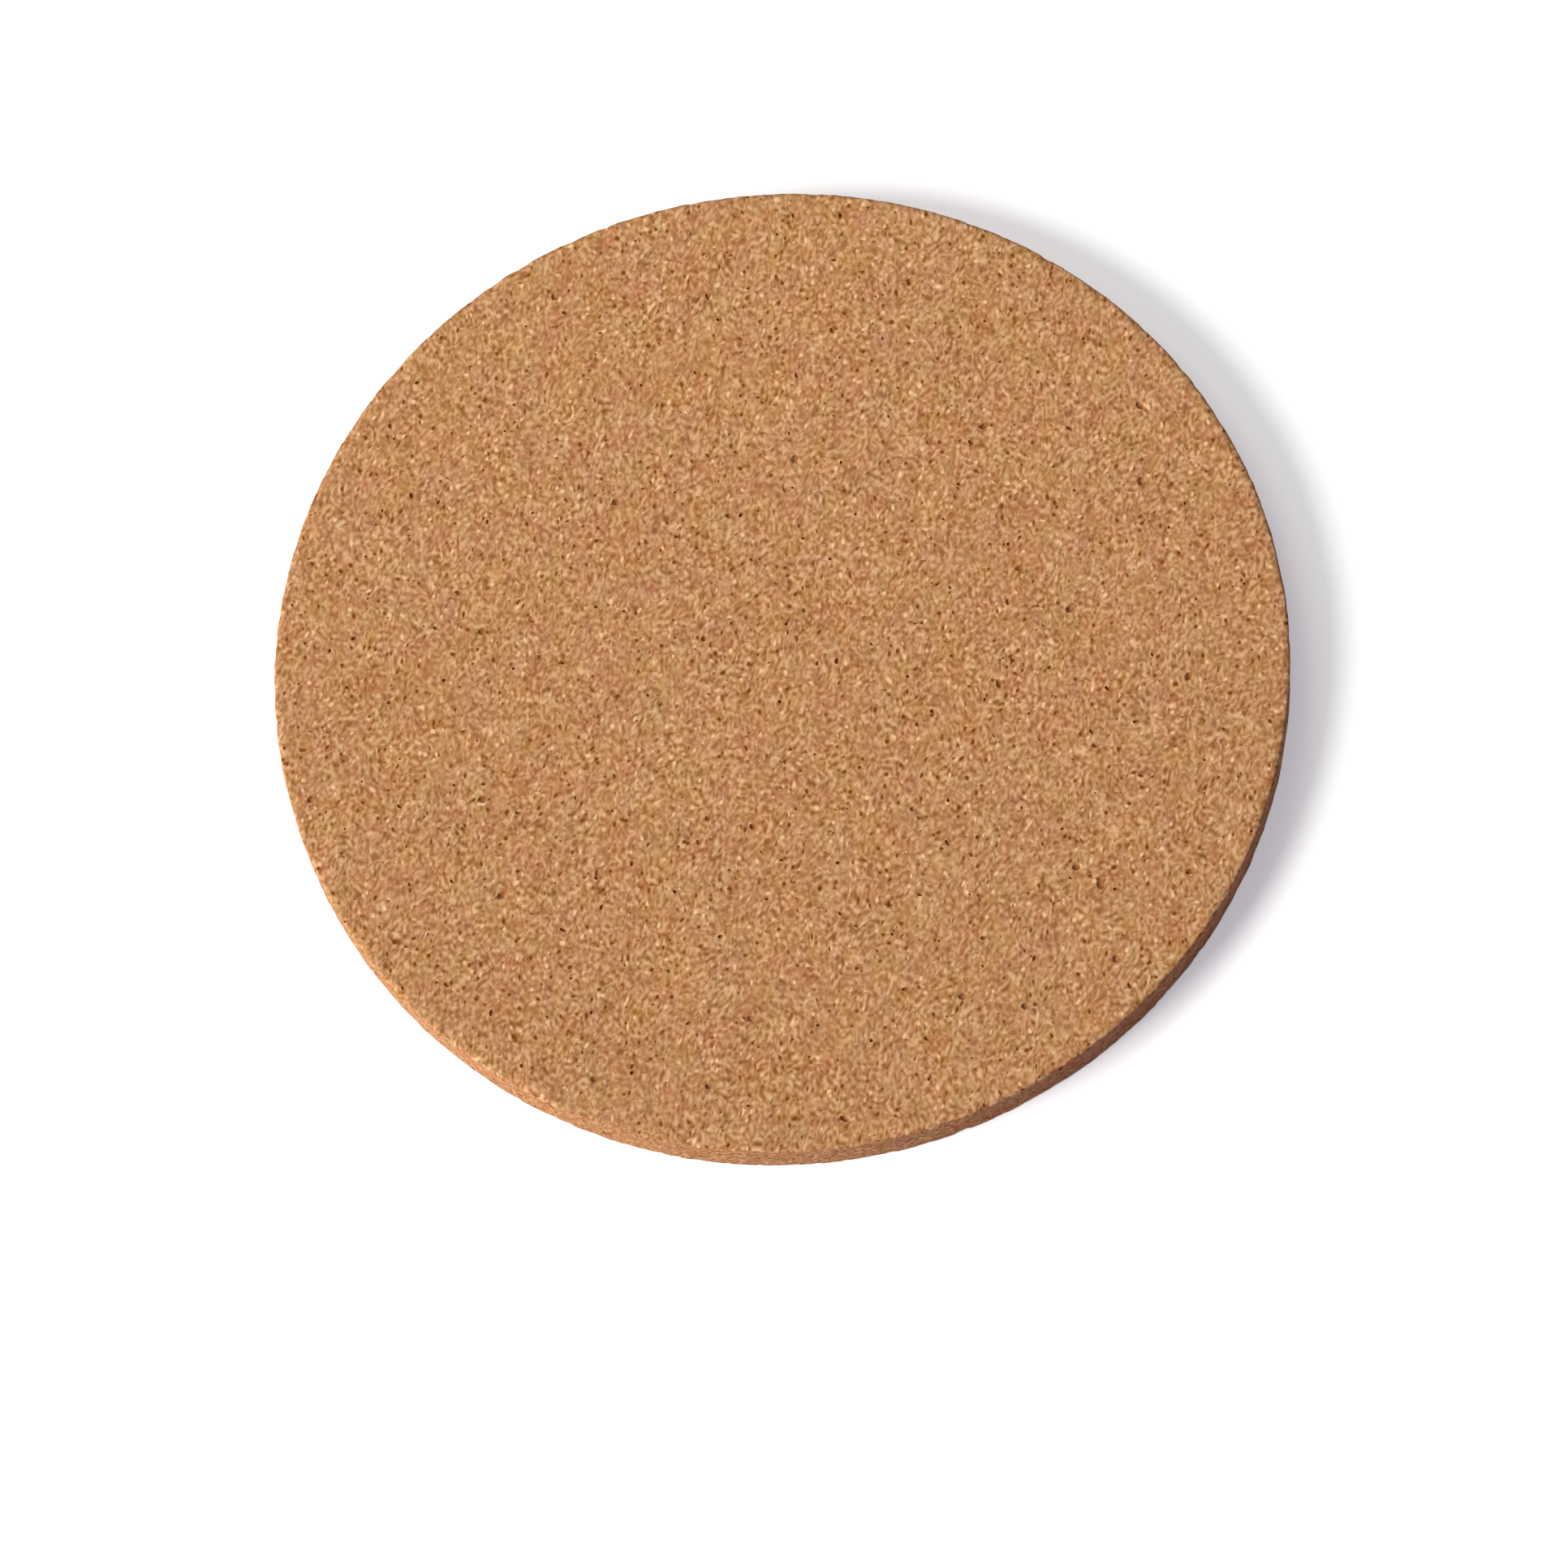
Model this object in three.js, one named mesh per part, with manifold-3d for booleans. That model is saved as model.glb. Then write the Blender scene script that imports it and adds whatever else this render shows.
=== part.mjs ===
// A round coaster of composition cork, the kind that is put under a glass or a cup.
//
// The real one is a single piece. Cork granules are bonded and pressed into a block, the block is
// sliced into sheet, the sheet is sanded on both faces, and a round die cuts the disc out. What
// such a disc shows is two flat faces, a straight cut wall between them, corners that are slightly
// worn, and the open pores that are left where a granule has come away.
//
// Units are millimetres and +Z is up. The origin is the centre of the underside.

import * as THREE from "three";
import { mergeVertices } from "three/addons/utils/BufferGeometryUtils.js";
import Module from "manifold-3d";

// The disc
const discDiameter = 100;
const discThickness = 5;
const upperCornerRadius = 0.35;
const lowerCornerRadius = 0.25;
const discSides = 120;
const cornerSteps = 2;

// The pores in the two faces
const facePoreSpacing = 11;
const facePoreLeastWidth = 0.5;
const facePoreMostWidth = 1.1;
const facePoreDepth = 0.4;
const faceBareMargin = 2;

// The pores in the cut wall
const wallPoreSpacing = 8;
const wallPoreLeastWidth = 0.5;
const wallPoreMostWidth = 1.2;
const wallPoreDepth = 0.35;

// The nicks where a granule has broken out of a corner
const nickSpacing = 13;
const nickWidth = 1.1;
const nickDepth = 0.3;

// The pores that show most on the upper face, seen from above with +Y away from the eye. Each
// line is one pore: its place across and up the face, in shares of the disc's radius.
const showingPoreWidth = 0.95;
const showingPoreShares = [
  [-0.05, -0.73],
  [0.48, -0.71],
  [0.58, -0.43],
  [0.22, -0.5],
  [0.36, -0.69],
  [-0.05, -0.34],
  [-0.58, -0.28],
  [0.8, -0.44],
  [0.4, 0.49],
  [0.47, 0.19],
  [0.43, -0.05],
  [-0.35, -0.85],
  [-0.59, 0.07],
  [0.71, 0.37],
  [0.8, -0.04],
  [-0.46, 0.78],
];

const discRadius = discDiameter / 2;
const wholeTurn = 2 * Math.PI;
const goldenTurn = wholeTurn * (1 - 1 / ((1 + Math.sqrt(5)) / 2));

const wasm = await Module();
wasm.setup();

// A closed three.js geometry as a solid that can be cut.
function solidFrom(geometry) {
  const bare = geometry.clone();
  bare.deleteAttribute("normal");
  bare.deleteAttribute("uv");
  const merged = mergeVertices(bare);
  const vertProperties = new Float32Array(merged.attributes.position.array);
  const triVerts = new Uint32Array(merged.index.array);
  return new wasm.Manifold(new wasm.Mesh({ numProp: 3, vertProperties, triVerts }));
}

// A solid as a three.js geometry again, with flat-shaded faces.
function geometryFrom(solid) {
  const mesh = solid.getMesh();
  const geometry = new THREE.BufferGeometry();
  geometry.setAttribute("position", new THREE.BufferAttribute(mesh.vertProperties, 3));
  geometry.setIndex(new THREE.BufferAttribute(mesh.triVerts, 1));
  const flat = geometry.toNonIndexed();
  flat.computeVertexNormals();
  return flat;
}

// Random numbers from 0 to 1 that come out the same each time for the same seed.
function seededRandom(seed) {
  let state = seed;
  return () => {
    state = (state + 0x6d2b79f5) | 0;
    let mixed = Math.imul(state ^ (state >>> 15), 1 | state);
    mixed = (mixed + Math.imul(mixed ^ (mixed >>> 7), 61 | mixed)) ^ mixed;
    return ((mixed ^ (mixed >>> 14)) >>> 0) / 2 ** 32;
  };
}

// The points of one rounded corner, a quarter turn about its centre from startAngle.
function roundCorner(centreRadius, centreHeight, cornerRadius, startAngle) {
  const points = [];
  for (let step = 0; step <= cornerSteps; step++) {
    const angle = startAngle + (step / cornerSteps) * (wholeTurn / 4);
    const across = centreRadius + cornerRadius * Math.cos(angle);
    const up = centreHeight + cornerRadius * Math.sin(angle);
    points.push(new THREE.Vector2(across, up));
  }
  return points;
}

// The disc before any granule is lost: half its section, turned once round the axis. A corner
// takes up at most half the thickness.
function blankDisc() {
  const upperCorner = Math.min(upperCornerRadius, discThickness / 2);
  const lowerCorner = Math.min(lowerCornerRadius, discThickness / 2);
  const section = [
    new THREE.Vector2(0, 0),
    ...roundCorner(discRadius - lowerCorner, lowerCorner, lowerCorner, -wholeTurn / 4),
    ...roundCorner(discRadius - upperCorner, discThickness - upperCorner, upperCorner, 0),
    new THREE.Vector2(0, discThickness),
  ];
  const turned = new THREE.LatheGeometry(section, discSides);
  turned.rotateX(wholeTurn / 4);
  return solidFrom(turned);
}

// The bed that one lost granule leaves: an uneven pebble, pressed flat along the way that it
// faces. lengthShare is its length over its width, and turn is how it lies on the surface.
function granuleBed(place, facing, width, depth, lengthShare, turn) {
  const pebble = new THREE.IcosahedronGeometry(1, 0);
  pebble.rotateZ(turn);
  pebble.scale(width / 2, (width / 2) * lengthShare, depth);
  pebble.rotateZ(turn);
  const towards = new THREE.Quaternion();
  towards.setFromUnitVectors(new THREE.Vector3(0, 0, 1), facing);
  pebble.applyQuaternion(towards);
  pebble.translate(place.x, place.y, place.z);
  return solidFrom(pebble);
}

// How one granule bed differs from the next: most are small and a few are near the most width,
// and they are up to half as long again as they are wide.
function bedWidth(random, leastWidth, mostWidth) {
  return leastWidth + (mostWidth - leastWidth) * random() ** 2;
}

function bedLengthShare(random) {
  return 1 + random() / 2;
}

// Pores spread evenly but not in rows over one face, by the golden angle.
function facePores(height, facing, seed) {
  const random = seededRandom(seed);
  const spreadRadius = discRadius - faceBareMargin;
  const count = Math.round((Math.PI * spreadRadius ** 2) / facePoreSpacing ** 2);
  const beds = [];
  for (let i = 0; i < count; i++) {
    const reach = spreadRadius * Math.sqrt((i + 1 / 2 + random() / 2) / count);
    const angle = i * goldenTurn + (random() / 2) * (facePoreSpacing / reach);
    const place = new THREE.Vector3(reach * Math.cos(angle), reach * Math.sin(angle), height);
    const width = bedWidth(random, facePoreLeastWidth, facePoreMostWidth);
    beds.push(
      granuleBed(place, facing, width, facePoreDepth, bedLengthShare(random), random() * wholeTurn),
    );
  }
  return beds;
}

// The pores that show most on the upper face, each in its own place.
function showingPores(height, facing) {
  const random = seededRandom(3);
  return showingPoreShares.map(([acrossShare, upShare]) => {
    const place = new THREE.Vector3(acrossShare * discRadius, upShare * discRadius, height);
    const turn = random() * wholeTurn;
    return granuleBed(place, facing, showingPoreWidth, facePoreDepth, bedLengthShare(random), turn);
  });
}

// Places round the disc at a random height between two heights, with the way out from the axis.
function placesRound(spacing, rows, lowest, highest, random) {
  const count = Math.round((rows * wholeTurn * discRadius) / spacing);
  const places = [];
  for (let i = 0; i < count; i++) {
    const angle = ((i + random() / 2) / count) * wholeTurn;
    const outward = new THREE.Vector3(Math.cos(angle), Math.sin(angle), 0);
    const height = lowest + (highest - lowest) * random();
    places.push({ place: outward.clone().multiplyScalar(discRadius).setZ(height), outward });
  }
  return places;
}

// Pores in the cut wall, as many to its area as their spacing gives.
function wallPores() {
  const random = seededRandom(4);
  const rows = discThickness / wallPoreSpacing;
  return placesRound(wallPoreSpacing, rows, 0, discThickness, random).map(({ place, outward }) => {
    const width = bedWidth(random, wallPoreLeastWidth, wallPoreMostWidth);
    return granuleBed(place, outward, width, wallPoreDepth, bedLengthShare(random), 0);
  });
}

// Nicks along one corner, facing half outward and half up or down.
function cornerNicks(height, updown, seed) {
  const random = seededRandom(seed);
  return placesRound(nickSpacing, 1, height, height, random).map(({ place, outward }) => {
    const facing = outward.clone().add(updown).normalize();
    return granuleBed(place, facing, nickWidth, nickDepth, bedLengthShare(random), 0);
  });
}

function corkDisc() {
  const up = new THREE.Vector3(0, 0, 1);
  const down = new THREE.Vector3(0, 0, -1);
  const beds = [
    ...facePores(discThickness, up, 1),
    ...facePores(0, down, 2),
    ...showingPores(discThickness, up),
    ...wallPores(),
    ...cornerNicks(discThickness, up, 5),
    ...cornerNicks(0, down, 6),
  ];
  const solid = beds.reduce((cut, bed) => cut.subtract(bed), blankDisc());
  const rawCork = new THREE.MeshStandardMaterial({ color: "#bd8a5e", roughness: 0.9, metalness: 0 });
  const mesh = new THREE.Mesh(geometryFrom(solid), rawCork);
  mesh.name = "cork_disc";
  return mesh;
}

const coaster = new THREE.Group();
coaster.name = "cork_coaster";
coaster.add(corkDisc());

export default coaster;
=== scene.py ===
# %% [markdown]
# # A cork coaster
#
# This lesson dresses a plain round coaster of composition cork. The real one is a single piece:
# cork granules are bonded and pressed into a block, the block is sliced into sheet, the sheet is
# sanded, and a round die cuts the disc out.
#
# The solid comes ready made from the frame, with its true size and its largest pores. Here it
# gets what the eye sees from close by: the relief of the granules, the fine open pores, the
# crumbling corners, and the flecked, matt colour of cork.

# %% Load the frame
import math

import bpy
from mathutils import Matrix, Vector


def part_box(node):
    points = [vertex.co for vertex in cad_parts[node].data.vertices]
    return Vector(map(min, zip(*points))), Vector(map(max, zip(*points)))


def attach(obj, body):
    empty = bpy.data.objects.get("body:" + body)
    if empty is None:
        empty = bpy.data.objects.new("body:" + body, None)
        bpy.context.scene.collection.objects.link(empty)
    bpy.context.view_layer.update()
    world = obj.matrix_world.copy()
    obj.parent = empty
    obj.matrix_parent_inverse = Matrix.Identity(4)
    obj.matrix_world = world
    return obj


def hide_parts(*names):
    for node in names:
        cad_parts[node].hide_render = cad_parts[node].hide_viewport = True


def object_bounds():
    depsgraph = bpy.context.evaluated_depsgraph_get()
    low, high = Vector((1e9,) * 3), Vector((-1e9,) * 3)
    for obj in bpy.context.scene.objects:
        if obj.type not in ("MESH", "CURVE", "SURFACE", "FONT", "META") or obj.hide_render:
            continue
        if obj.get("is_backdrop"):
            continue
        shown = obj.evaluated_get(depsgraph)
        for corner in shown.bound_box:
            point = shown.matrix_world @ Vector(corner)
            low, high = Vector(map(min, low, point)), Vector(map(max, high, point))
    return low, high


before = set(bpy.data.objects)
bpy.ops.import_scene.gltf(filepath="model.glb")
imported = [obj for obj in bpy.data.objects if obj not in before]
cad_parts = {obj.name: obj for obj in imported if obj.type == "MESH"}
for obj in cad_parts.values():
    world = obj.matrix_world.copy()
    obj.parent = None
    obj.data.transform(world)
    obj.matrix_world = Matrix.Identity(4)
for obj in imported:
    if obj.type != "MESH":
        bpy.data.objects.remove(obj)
cad_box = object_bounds()
MM = 0.001
solid_low, solid_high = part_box("cork_disc")
disc_radius = (solid_high.x - solid_low.x) / 2
disc_thickness = solid_high.z - solid_low.z
print(f"disc {2 * disc_radius / MM:.1f} mm across, {disc_thickness / MM:.1f} mm thick")

# %% [markdown]
# ## The camera
#
# The picture looks down on the coaster from the front, steeply, so that the upper face is nearly
# round and a thin band of the wall shows along its lower edge. The camera starts straight above
# the upper face, with +Y up the picture. It is leaned over about the middle of that face, and
# then moved sideways in its own plane, which sets where the disc lies in the frame without
# shifting the lens. Three measures of the picture are in pixels: its width, the middle of the
# upper face in it, and how many pixels a millimetre takes there. The lens follows from them and
# from the distance.

# %% Camera
FRAME_PIXELS = 1932
FACE_CENTRE_PIXEL = (961, 815)
PIXELS_PER_MM = 12.56
SENSOR_MM = 36.0
CAMERA_DISTANCE = 700 * MM
CAMERA_LEAN = math.radians(19)
CAMERA_SIDE = math.radians(281)

camera_data = bpy.data.cameras.new("camera")
camera_data.sensor_width = SENSOR_MM
camera_data.lens = SENSOR_MM * PIXELS_PER_MM * (CAMERA_DISTANCE / MM) / FRAME_PIXELS
camera = bpy.data.objects.new("camera", camera_data)
bpy.context.scene.collection.objects.link(camera)
bpy.context.scene.camera = camera

face_centre = Vector((0, 0, solid_high.z))
lean_axis = Vector((-math.sin(CAMERA_SIDE), math.cos(CAMERA_SIDE), 0))
leaned = Matrix.Rotation(CAMERA_LEAN, 4, lean_axis)
aside = Vector((
    (FRAME_PIXELS / 2 - FACE_CENTRE_PIXEL[0]) / PIXELS_PER_MM * MM,
    (FACE_CENTRE_PIXEL[1] - FRAME_PIXELS / 2) / PIXELS_PER_MM * MM,
    CAMERA_DISTANCE,
))
camera.matrix_world = Matrix.Translation(face_centre) @ leaned @ Matrix.Translation(aside)
print(f"lens {camera_data.lens:.0f} mm, {CAMERA_DISTANCE / MM:.0f} mm from the coaster")

# %% [markdown]
# ## One helper for colours and one for nodes
#
# Colours are written as they look on a screen, in hex, and Blender works in linear light, so one
# function turns the first into the second. Another adds a node to any tree, shader or geometry,
# with its settings and its inputs, and gives back its outputs. Every tree below is made with it.
# A socket goes by its name or by its number. Where a name repeats only the number will do, as on
# a Mix node, whose inputs 6 and 7 are its two colours.

# %% Helpers
def linear(hex_colour):
    """A screen colour such as "#bd8a5e" as linear light, by the sRGB curve, with full alpha."""
    channels = [int(hex_colour[i:i + 2], 16) / 255 for i in (1, 3, 5)]
    return [*((c / 12.92 if c <= 0.04045 else ((c + 0.055) / 1.055) ** 2.4) for c in channels), 1]


def add(tree, kind, inputs=None, **settings):
    """Adds a node, gives it its settings, fills or links its inputs, and returns its outputs."""
    node = tree.nodes.new(kind)
    for name, value in settings.items():
        setattr(node, name, value)
    for key, value in (inputs or {}).items():
        if isinstance(value, bpy.types.NodeSocket):
            tree.links.new(value, node.inputs[key])
        else:
            node.inputs[key].default_value = value
    return node.outputs


middle_grey = [round(channel, 3) for channel in linear("#808080")[:3]]
print(f"the middle grey of a screen is {middle_grey} in linear light")

# %% [markdown]
# ## The white sweep
#
# Small products are usually shot on a pale sweep of paper. Here it is one large square, level with
# the underside of the coaster, and the shadow of the coaster falls on it.

# %% Floor
FLOOR_SIDE = 6.0

floor_mesh = bpy.data.meshes.new("floor")
half_side = FLOOR_SIDE / 2
corners = [(x * half_side, y * half_side, 0) for x, y in ((-1, -1), (1, -1), (1, 1), (-1, 1))]
floor_mesh.from_pydata(corners, [], [range(len(corners))])
floor = bpy.data.objects.new("floor", floor_mesh)
bpy.context.scene.collection.objects.link(floor)
floor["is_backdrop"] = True
print(f"floor {FLOOR_SIDE:.0f} m on a side")

# %% [markdown]
# For the light that bounces up on the wall of the coaster, the paper is a matt pale grey, a
# little mauve, because the shaded wall is to look reddish. To the eye it is clean white: camera,
# mirror and glass rays see a white paper with a little glow of its own, so that the background is
# white with no more light on the cork.

# %% Paper
BOUNCE_GREY = "#bdaabf"
WHITE = "#ffffff"
PAPER_LIFT = 0.35


def seen_rays(tree):
    """One for camera, mirror and glass rays, and nothing for the light that falls on the cork."""
    rays = add(tree, "ShaderNodeLightPath")
    mirrored = {0: rays["Is Glossy Ray"], 1: rays["Is Transmission Ray"]}
    by_way_of = add(tree, "ShaderNodeMath", mirrored, operation="MAXIMUM")[0]
    return add(tree, "ShaderNodeMath", {0: rays["Is Camera Ray"], 1: by_way_of}, operation="MAXIMUM")[0]


paper = bpy.data.materials.new("white_paper_sweep")
paper.use_nodes = True
tree = paper.node_tree
tree.nodes.clear()
seen = seen_rays(tree)
shade = {0: seen, 6: linear(BOUNCE_GREY), 7: linear(WHITE)}
shade = add(tree, "ShaderNodeMix", shade, data_type="RGBA")[2]
matt = add(tree, "ShaderNodeBsdfDiffuse", {"Color": shade})[0]
lift = add(tree, "ShaderNodeMath", {0: seen, 1: PAPER_LIFT}, operation="MULTIPLY")[0]
glow = add(tree, "ShaderNodeEmission", {"Color": linear(WHITE), "Strength": lift})[0]
lifted = add(tree, "ShaderNodeAddShader", {0: matt, 1: glow})[0]
add(tree, "ShaderNodeOutputMaterial", {"Surface": lifted})
floor_mesh.materials.append(paper)
print(f"{paper.name} bounces light as {BOUNCE_GREY} and is seen as {WHITE}")

# %% [markdown]
# ## The light
#
# The key light is large and soft, and stands low on the left. The cut wall is brightest there and
# falls into shade on the right, and the granules throw a little light and shade across the face.
# A second soft lamp hangs near the coaster, behind it on the left, so that the face is a little
# brighter on that side.

# %% Lamps
KEY_STRENGTH = 4.1
KEY_TINT = "#fffdfb"
KEY_SIDE = math.radians(208)
KEY_HEIGHT = math.radians(30)
KEY_SOFTNESS = math.radians(32)
LAMP_WATTS = 0.45
LAMP_TINT = "#fffee8"
LAMP_SIZE = 260 * MM
LAMP_SIDE = math.radians(130)
LAMP_HEIGHT = math.radians(58)
LAMP_DISTANCE = 420 * MM


def towards(side, height):
    """The direction to a lamp, from its compass angle and its height over the floor."""
    level = math.cos(height)
    return Vector((math.cos(side) * level, math.sin(side) * level, math.sin(height)))


def hang_lamp(name, kind, direction, distance, tint):
    """Adds a lamp that shines at the coaster and isn't seen itself, and returns its data."""
    lamp = bpy.data.lights.new(name, kind)
    lamp.color = linear(tint)[:3]
    holder = bpy.data.objects.new(name, lamp)
    holder.location = direction * distance
    holder.rotation_euler = direction.to_track_quat("Z", "Y").to_euler()
    holder.visible_camera = False
    bpy.context.scene.collection.objects.link(holder)
    return lamp


key = hang_lamp("key", "SUN", towards(KEY_SIDE, KEY_HEIGHT), LAMP_DISTANCE, KEY_TINT)
key.energy = KEY_STRENGTH
key.angle = KEY_SOFTNESS
overhead = hang_lamp("overhead", "AREA", towards(LAMP_SIDE, LAMP_HEIGHT), LAMP_DISTANCE, LAMP_TINT)
overhead.energy = LAMP_WATTS
overhead.size = LAMP_SIZE
print(f"key light {math.degrees(KEY_HEIGHT):.0f} degrees above the floor")
print(f"soft lamp {LAMP_SIZE / MM:.0f} mm wide, {LAMP_DISTANCE / MM:.0f} mm away")

# %% [markdown]
# The room fills the shadows with slightly cool light. To the eye it is a white backdrop, in the
# same way as the paper.

# %% Room
ROOM_STRENGTH = 0.2
ROOM_TINT = "#dcd5fa"

world = bpy.data.worlds.new("studio")
bpy.context.scene.world = world
world.use_nodes = True
tree = world.node_tree
tree.nodes.clear()
room = {"Color": linear(ROOM_TINT), "Strength": ROOM_STRENGTH}
room = add(tree, "ShaderNodeBackground", room)[0]
backdrop = add(tree, "ShaderNodeBackground", {"Color": linear(WHITE), "Strength": 1.0})[0]
sky = add(tree, "ShaderNodeMixShader", {0: seen_rays(tree), 1: room, 2: backdrop})[0]
add(tree, "ShaderNodeOutputWorld", {"Surface": sky})
bpy.context.scene.view_settings.view_transform = "Standard"
print(f"room light {ROOM_STRENGTH} of {ROOM_TINT}")

# %% [markdown]
# ## The granules
#
# Composition cork is a solid pack of granules, and every face is a section through it. So the
# pattern is a solid one too: a Voronoi texture, whose cells are the granules, read at a point in
# space. The same nodes serve the geometry tree, where they raise and lower the surface, and the
# material, where they colour it, and so each granule's colour lies on its own bump. Pressing the
# block has flattened the granules, and across the face they are drawn out a little, near +Y. Each
# tree links only those fields of the pattern that it needs.
#
# Inside a granule the cork has a fibre, because the bark grew in layers. So the fine pattern is
# turned its own way in each cell, and drawn out along one axis, which makes short flecks.

# %% Granule pattern
GRANULE_MM = 1.4
FLECK_MM = 0.39
CHIP_MM = 0.6
FLECK_LENGTH_SHARE = 1.6
PRESSED_SHARES = (1.2, 0.8, 1.3)
GRAIN_TURN = math.radians(11)
BEND_SHARE = 0.6
BEND_DETAIL = 1.0
WHOLE_TURN = 2 * math.pi


def granules(tree, place):
    """Adds the granule pattern at a place in metres and returns its fields as a dict."""
    with_grain = {"Vector": place, "Angle": GRAIN_TURN}
    with_grain = add(tree, "ShaderNodeVectorRotate", with_grain, rotation_type="Z_AXIS")[0]
    to_mm = [share / MM for share in PRESSED_SHARES]
    in_mm = add(tree, "ShaderNodeVectorMath", {0: with_grain, 1: to_mm}, operation="MULTIPLY")[0]
    sway = {"Vector": in_mm, "Scale": 1 / GRANULE_MM, "Detail": BEND_DETAIL}
    sway = add(tree, "ShaderNodeTexNoise", sway)["Color"]
    bend = {0: sway, 1: (BEND_SHARE * GRANULE_MM,) * 3, 2: in_mm}
    bent = add(tree, "ShaderNodeVectorMath", bend, operation="MULTIPLY_ADD")[0]
    size = {"Vector": bent, "Scale": 1 / GRANULE_MM}
    cell = add(tree, "ShaderNodeTexVoronoi", size)["Color"]
    gap = add(tree, "ShaderNodeTexVoronoi", size, feature="DISTANCE_TO_EDGE")["Distance"]
    whole_turns = {0: cell, "Scale": WHOLE_TURN}
    fibre = add(tree, "ShaderNodeVectorMath", whole_turns, operation="SCALE")[0]
    turned = {"Vector": in_mm, "Rotation": fibre}
    turned = add(tree, "ShaderNodeVectorRotate", turned, rotation_type="EULER_XYZ")[0]
    drawn = {0: turned, 1: (1.0, 1.0, 1 / FLECK_LENGTH_SHARE)}
    drawn = add(tree, "ShaderNodeVectorMath", drawn, operation="MULTIPLY")[0]
    fleck = {"Vector": drawn, "Scale": 1 / FLECK_MM, "Detail": 0.0}
    fleck = add(tree, "ShaderNodeTexNoise", fleck)[0]
    chip = add(tree, "ShaderNodeTexVoronoi", {"Vector": drawn, "Scale": 1 / CHIP_MM})
    pick = add(tree, "ShaderNodeSeparateXYZ", {0: cell})
    chip_kind = add(tree, "ShaderNodeSeparateXYZ", {0: chip["Color"]})[1]
    return {
        "place": in_mm,
        "cell": cell,
        "level": pick[1],
        "kind": pick[2],
        "gap": gap,
        "fleck": fleck,
        "chip": chip["Distance"],
        "chip_kind": chip_kind,
    }


print(f"granules {GRANULE_MM} mm, flecks {FLECK_MM} mm, chips {CHIP_MM} mm")

# %% [markdown]
# ## The sanded disc
#
# The body follows a rule, so Geometry Nodes make it. A finely divided block is pressed into a
# disc: each square ring of its grid becomes a round one, of the same share of the area, and the
# corners are rounded. Then every point sinks by a small depth that the granules set. A lathe
# would do for the outline, but its grid is far too fine in the middle and too coarse at the rim
# to carry an even relief. The points only ever sink, because sanding leaves the highest granules
# at the true size.
#
# The solid of the frame has 120 flat sides, so it is a little narrower across the middle of a side
# than across its corners. The round disc keeps just inside it. One cell of its grid is about a
# third of a granule, which is fine enough for the relief. The material is still empty here,
# because the tree only hands it to the faces.

# %% Sizes of the disc
JUST_INSIDE = 0.01 * MM
CELL = 0.49 * MM
ROWS = 15
SOLID_SIDES = 120
inner_radius = disc_radius * math.cos(math.pi / SOLID_SIDES) - JUST_INSIDE

cork = bpy.data.materials.new("composition_cork")
sizes = {
    "Radius": inner_radius,
    "Thickness": disc_thickness,
    "Upper Corner": 0.35 * MM,
    "Lower Corner": 0.25 * MM,
    "Cells Across": round(math.sqrt(math.pi) * disc_radius / CELL),
    "Cells Through": ROWS,
    "Pore Spacing": 4.2 * MM,
    "Pore Density": 0.2 / MM**2,
    "Least Pore": 0.2 * MM,
    "Most Pore": 0.44 * MM,
    "Seed": 7,
    "Solid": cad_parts["cork_disc"],
}
print(f"radius {inner_radius / MM:.3f} mm, {sizes['Cells Across']} points across the block")

# %% [markdown]
# Each size is a named input of one tree, which the steps below join one after the other. Lengths
# are in metres, and counts are whole numbers.

# %% Tree of the disc
SOCKETS = {float: "NodeSocketFloat", int: "NodeSocketInt", bpy.types.Object: "NodeSocketObject"}

tree = bpy.data.node_groups.new("cork_disc_relief", "GeometryNodeTree")
for label, value in sizes.items():
    tree.interface.new_socket(label, in_out="INPUT", socket_type=SOCKETS[type(value)])
tree.interface.new_socket("Geometry", in_out="OUTPUT", socket_type="NodeSocketGeometry")
size = add(tree, "NodeGroupInput")
print(f"{tree.name} has {len(sizes)} inputs")

# %% [markdown]
# In the square grid, the ring that a point lies on is the larger of its two distances from the
# middle, and the smaller one over it says how far round an eighth of the ring the point is. So
# that ring becomes the radius, and that share becomes the angle. The block is two units wide and
# one high, so that its rings and rows are shares of the radius and of the thickness. The rings
# crowd together near the rim, and the rows near its two edges, because the corners are small.

# %% Press the block round
BLOCK_SIZE = (2.0, 2.0, 1.0)
RIM_CROWDING = 0.7
RIM_REACH = 36.0
WALL_CROWDING = 0.6


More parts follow.
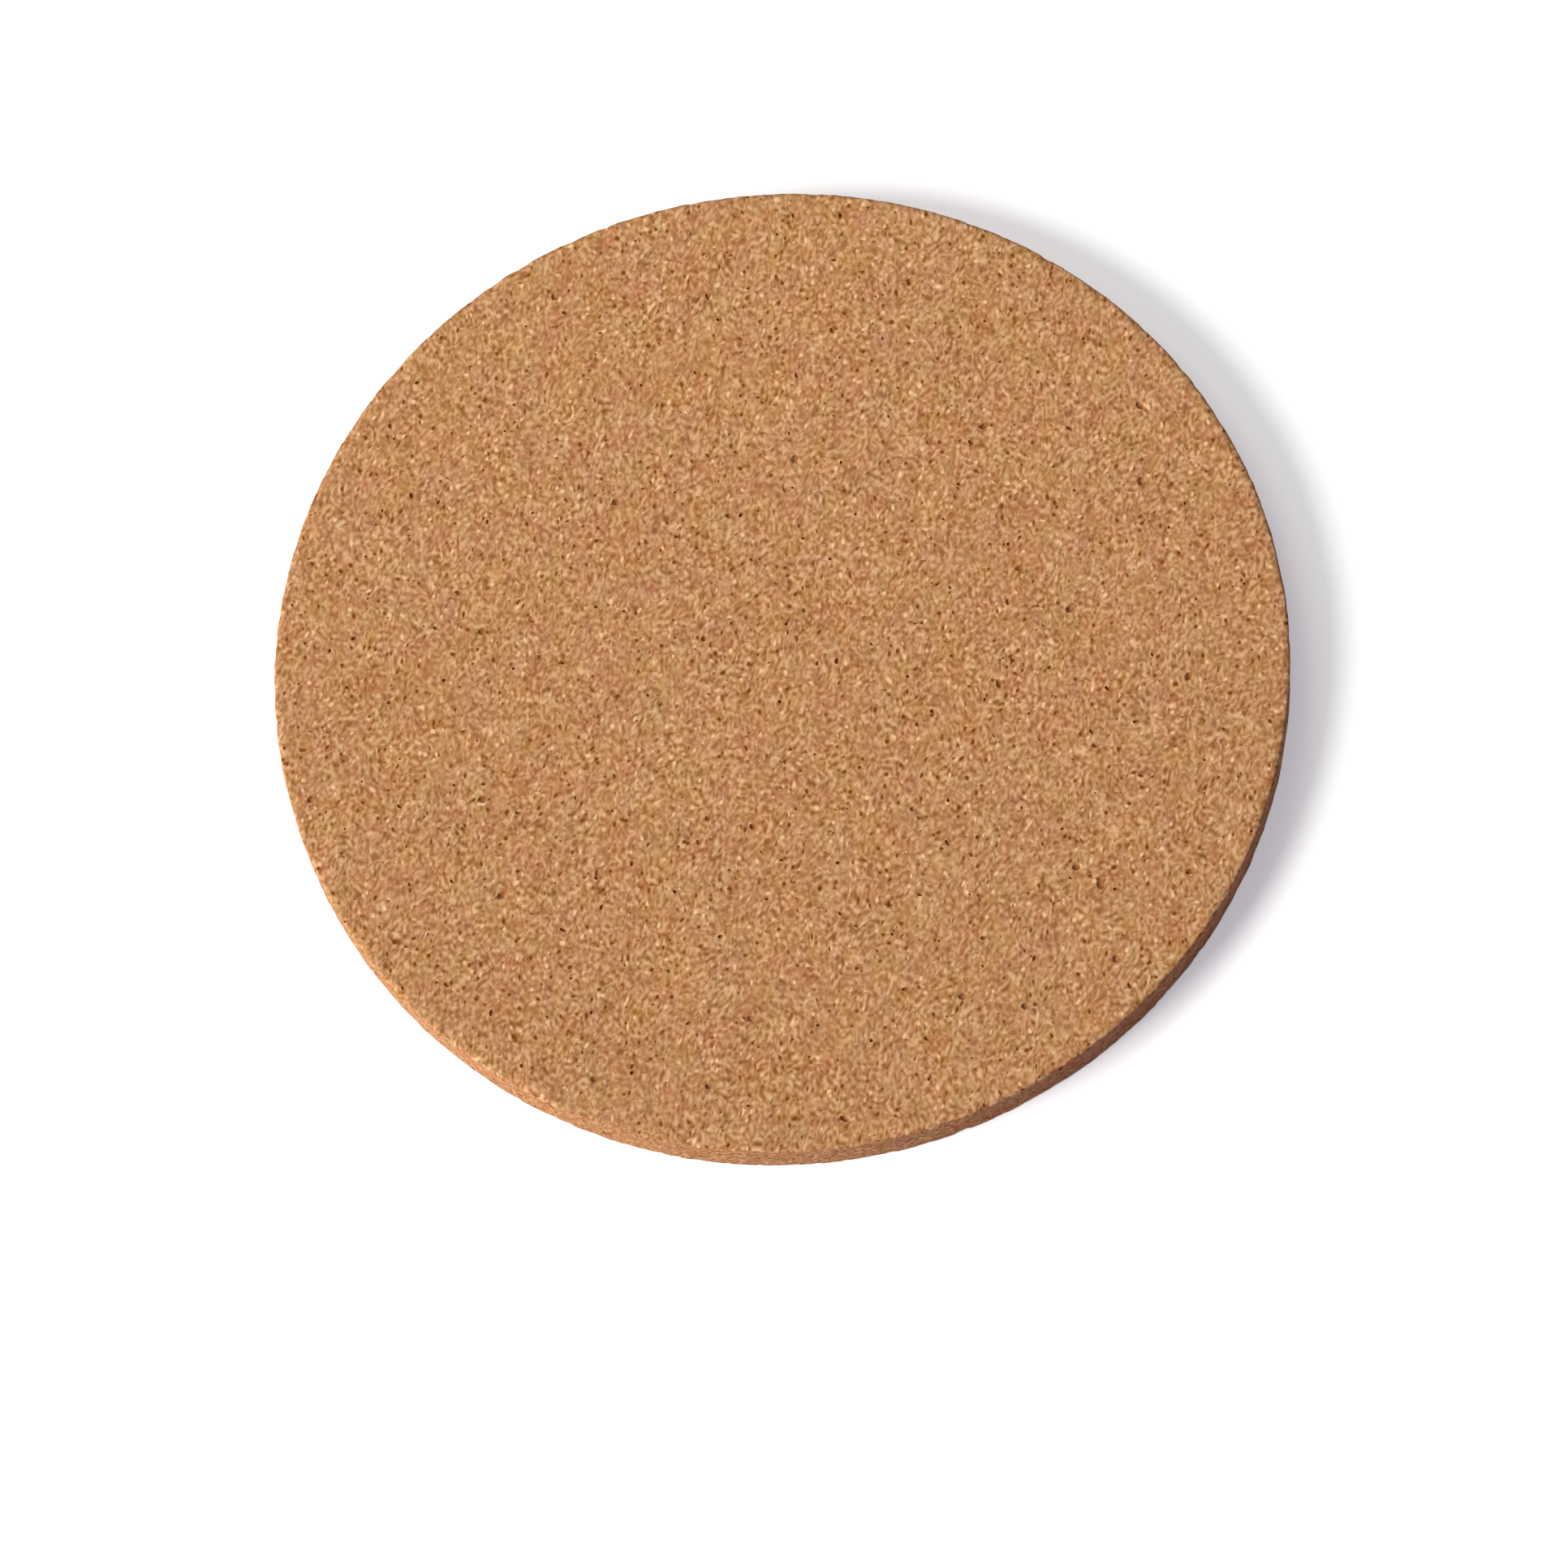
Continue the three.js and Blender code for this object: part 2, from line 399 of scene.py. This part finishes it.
def pressed_round(tree, size):
    """A divided block whose square rings are pressed into round ones, with sharp corners."""
    block = add(tree, "GeometryNodeMeshCube", {
        "Size": BLOCK_SIZE,
        "Vertices X": size["Cells Across"],
        "Vertices Y": size["Cells Across"],
        "Vertices Z": size["Cells Through"],
    })["Mesh"]
    spot = add(tree, "ShaderNodeSeparateXYZ", {0: add(tree, "GeometryNodeInputPosition")[0]})
    across = add(tree, "ShaderNodeMath", {0: spot[0]}, operation="ABSOLUTE")[0]
    up = add(tree, "ShaderNodeMath", {0: spot[1]}, operation="ABSOLUTE")[0]
    ring = add(tree, "ShaderNodeMath", {0: across, 1: up}, operation="MAXIMUM")[0]
    near = add(tree, "ShaderNodeMath", {0: across, 1: up}, operation="MINIMUM")[0]
    share = add(tree, "ShaderNodeMath", {0: near, 1: ring}, operation="DIVIDE")[0]
    turn = add(tree, "ShaderNodeMath", {0: share, 1: WHOLE_TURN / 8}, operation="MULTIPLY")[0]
    inward = add(tree, "ShaderNodeMath", {0: 1.0, 1: ring}, operation="SUBTRACT")[0]
    outer = add(tree, "ShaderNodeMath", {0: ring, 1: RIM_REACH}, operation="POWER")[0]
    crowd = add(tree, "ShaderNodeMath", {0: inward, 1: outer}, operation="MULTIPLY")[0]
    crowded = {0: crowd, 1: RIM_CROWDING, 2: ring}
    reach = add(tree, "ShaderNodeMath", crowded, operation="MULTIPLY_ADD")[0]
    radius = add(tree, "ShaderNodeMath", {0: reach, 1: size["Radius"]}, operation="MULTIPLY")[0]
    cosine = add(tree, "ShaderNodeMath", {0: turn}, operation="COSINE")[0]
    sine = add(tree, "ShaderNodeMath", {0: turn}, operation="SINE")[0]
    along = add(tree, "ShaderNodeMath", {0: radius, 1: cosine}, operation="MULTIPLY")[0]
    beside = add(tree, "ShaderNodeMath", {0: radius, 1: sine}, operation="MULTIPLY")[0]
    steep = add(tree, "ShaderNodeMath", {0: up, 1: across}, operation="GREATER_THAN")[0]
    x = add(tree, "ShaderNodeMix", {0: steep, 2: along, 3: beside})[0]
    y = add(tree, "ShaderNodeMix", {0: steep, 2: beside, 3: along})[0]
    x_sign = add(tree, "ShaderNodeMath", {0: spot[0]}, operation="SIGN")[0]
    y_sign = add(tree, "ShaderNodeMath", {0: spot[1]}, operation="SIGN")[0]
    x = add(tree, "ShaderNodeMath", {0: x, 1: x_sign}, operation="MULTIPLY")[0]
    y = add(tree, "ShaderNodeMath", {0: y, 1: y_sign}, operation="MULTIPLY")[0]
    rise = {0: spot[2], 1: BLOCK_SIZE[2] / 2}
    rise = add(tree, "ShaderNodeMath", rise, operation="ADD")[0]
    phase = add(tree, "ShaderNodeMath", {0: rise, 1: WHOLE_TURN}, operation="MULTIPLY")[0]
    wave = add(tree, "ShaderNodeMath", {0: phase}, operation="SINE")[0]
    crowded = {0: wave, 1: -WALL_CROWDING / WHOLE_TURN, 2: rise}
    rise = add(tree, "ShaderNodeMath", crowded, operation="MULTIPLY_ADD")[0]
    z = add(tree, "ShaderNodeMath", {0: rise, 1: size["Thickness"]}, operation="MULTIPLY")[0]
    place = add(tree, "ShaderNodeCombineXYZ", {0: x, 1: y, 2: z})[0]
    return add(tree, "GeometryNodeSetPosition", {"Geometry": block, "Position": place})[0]


disc = pressed_round(tree, size)
print(f"with the block pressed round, the tree has {len(tree.nodes)} nodes")

# %% [markdown]
# The corners are rounded as a ball would round them. The core of the section is what is left when
# each edge moves in by the corner radius. A point outside the core looks back to the nearest
# point of it, and if it is further away than the radius, it is drawn in to that distance.

# %% Round the corners
def section(tree):
    """The way out from the axis, the distance from it and the height of each point."""
    spot = add(tree, "ShaderNodeSeparateXYZ", {0: add(tree, "GeometryNodeInputPosition")[0]})
    flat = add(tree, "ShaderNodeCombineXYZ", {0: spot[0], 1: spot[1]})[0]
    reach = add(tree, "ShaderNodeVectorMath", {0: flat}, operation="LENGTH")["Value"]
    outward = add(tree, "ShaderNodeVectorMath", {0: flat}, operation="NORMALIZE")[0]
    return outward, reach, spot[2]


def rounded_corners(tree, size, disc):
    """Draws the points beyond the core of the section in to their corner's radius."""
    lower, upper = size["Lower Corner"], size["Upper Corner"]
    outward, reach, height = section(tree)
    above = add(tree, "ShaderNodeMath", {0: height, 1: lower}, operation="GREATER_THAN")[0]
    corner = add(tree, "ShaderNodeMix", {0: above, 2: lower, 3: upper})[0]
    core_reach = {0: size["Radius"], 1: corner}
    core_reach = add(tree, "ShaderNodeMath", core_reach, operation="SUBTRACT")[0]
    core_top = {0: size["Thickness"], 1: upper}
    core_top = add(tree, "ShaderNodeMath", core_top, operation="SUBTRACT")[0]
    core_x = add(tree, "ShaderNodeMath", {0: reach, 1: core_reach}, operation="MINIMUM")[0]
    core_z = add(tree, "ShaderNodeClamp", {0: height, 1: lower, 2: core_top})[0]
    past_x = add(tree, "ShaderNodeMath", {0: reach, 1: core_x}, operation="SUBTRACT")[0]
    past_z = add(tree, "ShaderNodeMath", {0: height, 1: core_z}, operation="SUBTRACT")[0]
    past = add(tree, "ShaderNodeCombineXYZ", {0: past_x, 2: past_z})[0]
    length = add(tree, "ShaderNodeVectorMath", {0: past}, operation="LENGTH")["Value"]
    draw_in = add(tree, "ShaderNodeMath", {0: corner, 1: length}, operation="DIVIDE")[0]
    draw_in = add(tree, "ShaderNodeMath", {0: draw_in, 1: 1.0}, operation="MINIMUM")[0]
    new_x = {0: past_x, 1: draw_in, 2: core_x}
    new_x = add(tree, "ShaderNodeMath", new_x, operation="MULTIPLY_ADD")[0]
    new_z = {0: past_z, 1: draw_in, 2: core_z}
    new_z = add(tree, "ShaderNodeMath", new_z, operation="MULTIPLY_ADD")[0]
    flat = add(tree, "ShaderNodeVectorMath", {0: outward, "Scale": new_x}, operation="SCALE")[0]
    rise = add(tree, "ShaderNodeCombineXYZ", {2: new_z})[0]
    place = add(tree, "ShaderNodeVectorMath", {0: flat, 1: rise}, operation="ADD")[0]
    return add(tree, "GeometryNodeSetPosition", {"Geometry": disc, "Position": place})[0]


disc = rounded_corners(tree, size, disc)
print(f"with its corners rounded, the tree has {len(tree.nodes)} nodes")

# %% [markdown]
# ## The relief of the granules
#
# Sanding leaves the face level to a few hundredths of a millimetre: some granules stand a little
# lower than others, and the joints between them lie lowest. The die tears rather than cuts, so
# the wall is rougher, and the two corners crumble most.

# %% Relief
FACE_STEP = 0.06 * MM
JOINT_DEPTH = 0.02 * MM
JOINT_WIDTH_SHARE = 0.12
WALL_STEP = 0.09 * MM
CRUMBLE = 0.22 * MM
CRUMBLE_REACH = 0.8 * MM
CRUMBLE_MM = 1.3
CRUMBLE_DETAIL = 2.0
CRUMBLE_FROM = 0.5
CRUMBLE_TO = 0.8


def lost_at_corner(tree, size, reach, height, place):
    """How much of the crumbling a point gets: most on the two edges, and in patches."""
    from_rim = {0: size["Radius"], 1: reach}
    from_rim = add(tree, "ShaderNodeMath", from_rim, operation="SUBTRACT")[0]
    from_top = {0: size["Thickness"], 1: height}
    from_top = add(tree, "ShaderNodeMath", from_top, operation="SUBTRACT")[0]
    from_face = add(tree, "ShaderNodeMath", {0: from_top, 1: height}, operation="MINIMUM")[0]
    offset = add(tree, "ShaderNodeCombineXYZ", {0: from_rim, 2: from_face})[0]
    away = add(tree, "ShaderNodeVectorMath", {0: offset}, operation="LENGTH")["Value"]
    close = {"Value": away, "From Max": CRUMBLE_REACH, "To Min": 1.0, "To Max": 0.0}
    close = add(tree, "ShaderNodeMapRange", close)[0]
    loose = {"Vector": place, "Scale": 1 / CRUMBLE_MM, "Detail": CRUMBLE_DETAIL}
    loose = add(tree, "ShaderNodeTexNoise", loose)[0]
    patch = {"Value": loose, "From Min": CRUMBLE_FROM, "From Max": CRUMBLE_TO}
    patch = add(tree, "ShaderNodeMapRange", patch)[0]
    return add(tree, "ShaderNodeMath", {0: patch, 1: close}, operation="MULTIPLY")[0]


def sunk_granules(tree, size, disc):
    """Sinks each point by its granule's depth, and more on the wall and at the corners."""
    _, reach, height = section(tree)
    fields = granules(tree, add(tree, "GeometryNodeInputPosition")[0])
    joint = {"Value": fields["gap"], "From Max": JOINT_WIDTH_SHARE, "To Min": 1.0, "To Max": 0.0}
    joint = add(tree, "ShaderNodeMapRange", joint)[0]
    normal = add(tree, "GeometryNodeInputNormal")[0]
    facing = add(tree, "ShaderNodeSeparateXYZ", {0: normal})[2]
    flatness = add(tree, "ShaderNodeMath", {0: facing}, operation="ABSOLUTE")[0]
    step = add(tree, "ShaderNodeMix", {0: flatness, 2: WALL_STEP, 3: FACE_STEP})[0]
    depth = add(tree, "ShaderNodeMath", {0: fields["level"], 1: step}, operation="MULTIPLY")[0]
    depth = {0: joint, 1: JOINT_DEPTH, 2: depth}
    depth = add(tree, "ShaderNodeMath", depth, operation="MULTIPLY_ADD")[0]
    lost = lost_at_corner(tree, size, reach, height, fields["place"])
    depth = add(tree, "ShaderNodeMath", {0: lost, 1: CRUMBLE, 2: depth}, operation="MULTIPLY_ADD")[0]
    inward = add(tree, "ShaderNodeMath", {0: depth, 1: -1.0}, operation="MULTIPLY")[0]
    move = add(tree, "ShaderNodeVectorMath", {0: normal, "Scale": inward}, operation="SCALE")[0]
    return add(tree, "GeometryNodeSetPosition", {"Geometry": disc, "Offset": move})[0]


disc = sunk_granules(tree, size, disc)
print(f"granules lie up to {FACE_STEP / MM:.2f} mm low on a face, {WALL_STEP / MM:.2f} mm on the wall")

# %% [markdown]
# ## The open pores
#
# Where a granule has come away, a pit stays, and pits this dark have to be real holes. The
# largest are in the frame's solid already, so the disc is cut to what both have in common. Cork
# is springy, and a torn pore closes up a little, so the solid is swollen first, by a tenth of a
# millimetre. Its pores become smaller by that much all round, and nothing else of it reaches the
# disc. Both meshes of this cut go into one socket, and the helper fills a socket once, so the
# second mesh is linked by hand.
#
# The finer pores are pebbles scattered over the surface, no closer than a set distance, and cut
# out of it. A pebble is one unit wide to begin with, so that its scale is its width, and the
# chance that sets the width is raised to a power, so that most pores are small. A cut costs faces
# only where a pore is, so pores can be far finer than the grid.
#
# The faces of the two cutters carry a mark, which the cut hands on to the faces that they leave
# in the disc. The material reads that mark and darkens those faces: partly for the torn cork, and
# partly as painted shade, the shade that falls deep in a pit.

# %% Pores
WELD = 0.0001 * MM
SPRING_BACK = 0.1 * MM
PEBBLE_RADIUS = 0.5
LONGEST_PORE_SHARE = 2.0
WIDTH_POWER = 2.5
# The mark on a pore's faces, and how far they are darkened: partly torn cork, partly painted shade.
TORN_AND_SHADED = "torn"
LARGE_PORE_DARKNESS = 0.6
FINE_PORE_DARKNESS = 0.82


def cut_pores(tree, size, disc):
    """The disc with the solid's own pores, and with fine ones scattered over it."""
    solid = add(tree, "GeometryNodeObjectInfo", {"Object": size["Solid"]})["Geometry"]
    solid = {"Geometry": solid, "Distance": WELD}
    solid = add(tree, "GeometryNodeMergeByDistance", solid)[0]
    normal = add(tree, "GeometryNodeInputNormal")[0]
    swell = add(tree, "ShaderNodeVectorMath", {0: normal, "Scale": SPRING_BACK}, operation="SCALE")[0]
    solid = add(tree, "GeometryNodeSetPosition", {"Geometry": solid, "Offset": swell})[0]
    per_face = {"data_type": "FLOAT", "domain": "FACE"}
    mark = {"Geometry": solid, "Name": TORN_AND_SHADED, "Value": LARGE_PORE_DARKNESS}
    solid = add(tree, "GeometryNodeStoreNamedAttribute", mark, **per_face)[0]
    in_common = {"operation": "INTERSECT", "solver": "MANIFOLD"}
    common = add(tree, "GeometryNodeMeshBoolean", {"Mesh 2": disc}, **in_common)[0]
    tree.links.new(solid, common.node.inputs["Mesh 2"])
    points = add(tree, "GeometryNodeDistributePointsOnFaces", {
        "Mesh": disc,
        "Distance Min": size["Pore Spacing"],
        "Density Max": size["Pore Density"],
        "Seed": size["Seed"],
    }, distribute_method="POISSON")["Points"]
    pebble = add(tree, "GeometryNodeMeshIcoSphere", {"Radius": PEBBLE_RADIUS})[0]
    mark = {"Geometry": pebble, "Name": TORN_AND_SHADED, "Value": FINE_PORE_DARKNESS}
    pebble = add(tree, "GeometryNodeStoreNamedAttribute", mark, **per_face)[0]
    spin = {0: (0.0,) * 3, 1: (WHOLE_TURN,) * 3, "Seed": size["Seed"]}
    spin = add(tree, "FunctionNodeRandomValue", spin, data_type="FLOAT_VECTOR")[0]
    chance = add(tree, "FunctionNodeRandomValue", {"Seed": size["Seed"]})[1]
    rare = add(tree, "ShaderNodeMath", {0: chance, 1: WIDTH_POWER}, operation="POWER")[0]
    width = {"Value": rare, "To Min": size["Least Pore"], "To Max": size["Most Pore"]}
    width = add(tree, "ShaderNodeMapRange", width)[0]
    stretch = {2: 1.0, 3: LONGEST_PORE_SHARE, "Seed": size["Seed"]}
    stretch = add(tree, "FunctionNodeRandomValue", stretch)[1]
    length = add(tree, "ShaderNodeMath", {0: width, 1: stretch}, operation="MULTIPLY")[0]
    extent = add(tree, "ShaderNodeCombineXYZ", {0: width, 1: length, 2: width})[0]
    beds = {"Points": points, "Instance": pebble, "Rotation": spin, "Scale": extent}
    beds = add(tree, "GeometryNodeInstanceOnPoints", beds)[0]
    cut = {"Mesh 1": common, "Mesh 2": beds}
    return add(tree, "GeometryNodeMeshBoolean", cut, solver="MANIFOLD")[0]


disc = cut_pores(tree, size, disc)
print(f"fine pores {sizes['Least Pore'] / MM:.2f} to {sizes['Most Pore'] / MM:.2f} mm in width")

# %% [markdown]
# Where two faces meet at more than the sharp angle, as at the lip of a pore, the edge stays sharp,
# and everywhere else the shading is smooth. Then the faces get the material, and the tree ends.

# %% Finish the tree
SHARP_EDGE = math.radians(50)

angle = add(tree, "GeometryNodeInputMeshEdgeAngle")["Unsigned Angle"]
soft = add(tree, "ShaderNodeMath", {0: angle, 1: SHARP_EDGE}, operation="LESS_THAN")[0]
smooth_faces = {"Geometry": disc, "Shade Smooth": True}
disc = add(tree, "GeometryNodeSetShadeSmooth", smooth_faces, domain="FACE")[0]
smooth_edges = {"Geometry": disc, "Shade Smooth": soft}
disc = add(tree, "GeometryNodeSetShadeSmooth", smooth_edges, domain="EDGE")[0]
disc = add(tree, "GeometryNodeRealizeInstances", {"Geometry": disc})[0]
disc = add(tree, "GeometryNodeSetMaterial", {"Geometry": disc, "Material": cork})[0]
add(tree, "NodeGroupOutput", {0: disc})
print(f"{tree.name} has {len(tree.nodes)} nodes")

# %% [markdown]
# The tree runs once, on an empty carrier. What it makes is copied as a plain mesh, and the carrier
# goes. The disc then rides on the frame's root in place of the plain solid.

# %% Run the tree
carrier = bpy.data.objects.new("carrier", bpy.data.meshes.new("carrier"))
bpy.context.scene.collection.objects.link(carrier)
made = carrier.modifiers.new("relief", "NODES")
made.node_group = tree
for item in tree.interface.items_tree:
    if item.in_out == "INPUT":
        made[item.identifier] = sizes[item.name]
bpy.context.view_layer.update()
graph = bpy.context.evaluated_depsgraph_get()
coaster_mesh = bpy.data.meshes.new_from_object(carrier.evaluated_get(graph))
coaster = bpy.data.objects.new("cork_coaster", coaster_mesh)
bpy.context.scene.collection.objects.link(coaster)
bpy.data.objects.remove(carrier)
coaster_mesh.calc_loop_triangles()
print(f"coaster has {len(coaster_mesh.loop_triangles)} triangles")

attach(coaster, "root")
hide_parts("cork_disc")

# %% [markdown]
# ## The colours of cork
#
# Sanded composition cork, with no varnish, is matt and warm. One colour is the middle of it. Each
# granule lies a little to the side of that in hue, richness and lightness, and because the batch
# is never mixed quite evenly, neighbours are a little alike. The pattern's cell colour, which is
# random, gives the first, and a slow noise gives the second.

# %% Colour of each granule
CORK = "#be895a"
HUE_SPREAD = 0.0125
RICHNESS_SPREAD = 0.055
LIGHTNESS_SPREAD = 0.005
DRIFT_MM = 3.0
DRIFT_DETAIL = 2.0
DRIFT_SHARE = 0.6
DRIFT_LEAST, DRIFT_MOST = 0.3, 0.7
NO_HUE_SHIFT = 0.5

cork.use_nodes = True
shader = cork.node_tree
shader.nodes.clear()
fields = granules(shader, add(shader, "ShaderNodeTexCoord")["Object"])
drift = {"Vector": fields["place"], "Scale": 1 / DRIFT_MM, "Detail": DRIFT_DETAIL}
drift = add(shader, "ShaderNodeTexNoise", drift)["Color"]
drift = {"Vector": drift, 7: (DRIFT_LEAST,) * 3, 8: (DRIFT_MOST,) * 3}
drift = add(shader, "ShaderNodeMapRange", drift, data_type="FLOAT_VECTOR")["Vector"]
blend = {0: DRIFT_SHARE, 4: fields["cell"], 5: drift}
blend = add(shader, "ShaderNodeMix", blend, data_type="VECTOR")[1]
low = (NO_HUE_SHIFT - HUE_SPREAD, 1 - RICHNESS_SPREAD, 1 - LIGHTNESS_SPREAD)
high = (NO_HUE_SHIFT + HUE_SPREAD, 1 + RICHNESS_SPREAD, 1 + LIGHTNESS_SPREAD)
blend = {"Vector": blend, 9: low, 10: high}
blend = add(shader, "ShaderNodeMapRange", blend, data_type="FLOAT_VECTOR")["Vector"]
blend = add(shader, "ShaderNodeSeparateXYZ", {0: blend})
colour = {"Hue": blend[0], "Saturation": blend[1], "Value": blend[2], "Color": linear(CORK)}
colour = add(shader, "ShaderNodeHueSaturation", colour)[0]
print(f"granules vary about {CORK}, richness by {RICHNESS_SPREAD:.1%}")

# %% [markdown]
# Across the granules lie pale flecks of clean young cork and brown ones of older bark. Where the
# fleck pattern is high the cork turns pale, and where it is low it turns dark. How strongly is the
# granule's own. Some chips, a little larger than the flecks, stand out against both.

# %% Flecks and chips
CREAM = "#f4c897"
BARK = "#7a4305"
PALE_FLECK = 0.56
DARK_FLECK = 0.62
FLECK_MIDDLE = 0.5
FLECK_SPREAD = 0.31
FAINTEST_FLECKS, BOLDEST_FLECKS = 0.8, 1.3
CHIP_CORE, CHIP_EDGE = 0.15, 0.4
PALE_CHIP_SHARE = 0.19
DARK_CHIP_SHARE = 0.19
PALE_CHIP = 1.0
DARK_CHIP = 1.0

strength = {"Value": fields["kind"], "To Min": FAINTEST_FLECKS, "To Max": BOLDEST_FLECKS}
strength = add(shader, "ShaderNodeMapRange", strength)[0]
chip = {"Value": fields["chip"], "From Min": CHIP_EDGE, "From Max": CHIP_CORE}
chip = add(shader, "ShaderNodeMapRange", chip)[0]


def flecks(far_end, most, is_chip, chip_most, over, hex_colour):
    """Mixes a colour in where the fleck pattern is near one end of it, and on some chips."""
    fleck = {"Value": fields["fleck"], "From Min": FLECK_MIDDLE, "From Max": far_end, "To Max": most}
    fleck = add(shader, "ShaderNodeMapRange", fleck)[0]
    fleck = add(shader, "ShaderNodeMath", {0: fleck, 1: strength}, operation="MULTIPLY")[0]
    whole = add(shader, "ShaderNodeMath", {0: chip, 1: is_chip}, operation="MULTIPLY")[0]
    share = {0: whole, 1: chip_most, 2: fleck}
    share = add(shader, "ShaderNodeMath", share, operation="MULTIPLY_ADD", use_clamp=True)[0]
    mix = {0: share, 6: over, 7: linear(hex_colour)}
    return add(shader, "ShaderNodeMix", mix, data_type="RGBA")[2]


is_pale = {0: fields["chip_kind"], 1: PALE_CHIP_SHARE}
is_pale = add(shader, "ShaderNodeMath", is_pale, operation="LESS_THAN")[0]
is_dark = {0: fields["chip_kind"], 1: 1 - DARK_CHIP_SHARE}
is_dark = add(shader, "ShaderNodeMath", is_dark, operation="GREATER_THAN")[0]
colour = flecks(FLECK_MIDDLE + FLECK_SPREAD, PALE_FLECK, is_pale, PALE_CHIP, colour, CREAM)
colour = flecks(FLECK_MIDDLE - FLECK_SPREAD, DARK_FLECK, is_dark, DARK_CHIP, colour, BARK)
print(f"pale flecks towards {CREAM}, dark ones towards {BARK}")

# %% [markdown]
# Inside a pore the cork is torn and not sanded, and deep in the pit the shade falls, so the faces
# with the cut's mark are darkened there: partly for the torn cork, and partly as painted shade. A
# faint bump gives the cork its tooth, and because its surface is all open cells, it is matt and
# has hardly any gloss.

# %% Pores and surface
PORE = "#7e3c0c"
TOOTH = 0.4
TOOTH_DEPTH = 0.04 * MM
TOOTH_MM = 0.5
MATT = 0.9
CORK_IOR = 1.45
DULL_GLOSS = 0.08

# Painted shade in the pits: the marked pore faces go towards PORE, over the darker torn cork.
torn = add(shader, "ShaderNodeAttribute", attribute_name=TORN_AND_SHADED)["Fac"]
colour = {0: torn, 6: colour, 7: linear(PORE)}
colour = add(shader, "ShaderNodeMix", colour, data_type="RGBA")[2]
grain = {"Vector": fields["place"], "Scale": 1 / TOOTH_MM}
grain = add(shader, "ShaderNodeTexNoise", grain)[0]
bump = {"Strength": TOOTH, "Distance": TOOTH_DEPTH, "Height": grain}
bump = add(shader, "ShaderNodeBump", bump)[0]
surface = add(shader, "ShaderNodeBsdfPrincipled", {
    "Base Color": colour,
    "Roughness": MATT,
    "IOR": CORK_IOR,
    "Specular IOR Level": DULL_GLOSS,
    "Normal": bump,
})[0]
add(shader, "ShaderNodeOutputMaterial", {"Surface": surface})
print(f"{cork.name} has {len(shader.nodes)} nodes")

# %% [markdown]
# ## The size of the dressed disc
#
# The dressed disc has to lie inside the box of the solid. Both boxes are printed, and the frame is
# finished.

# %% Finish
visual_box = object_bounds()
for name, box in (("solid", cad_box), ("dressed", visual_box)):
    spans = [round((high - low) / MM, 3) for low, high in zip(*box)]
    print(f"{name} box {spans} mm")
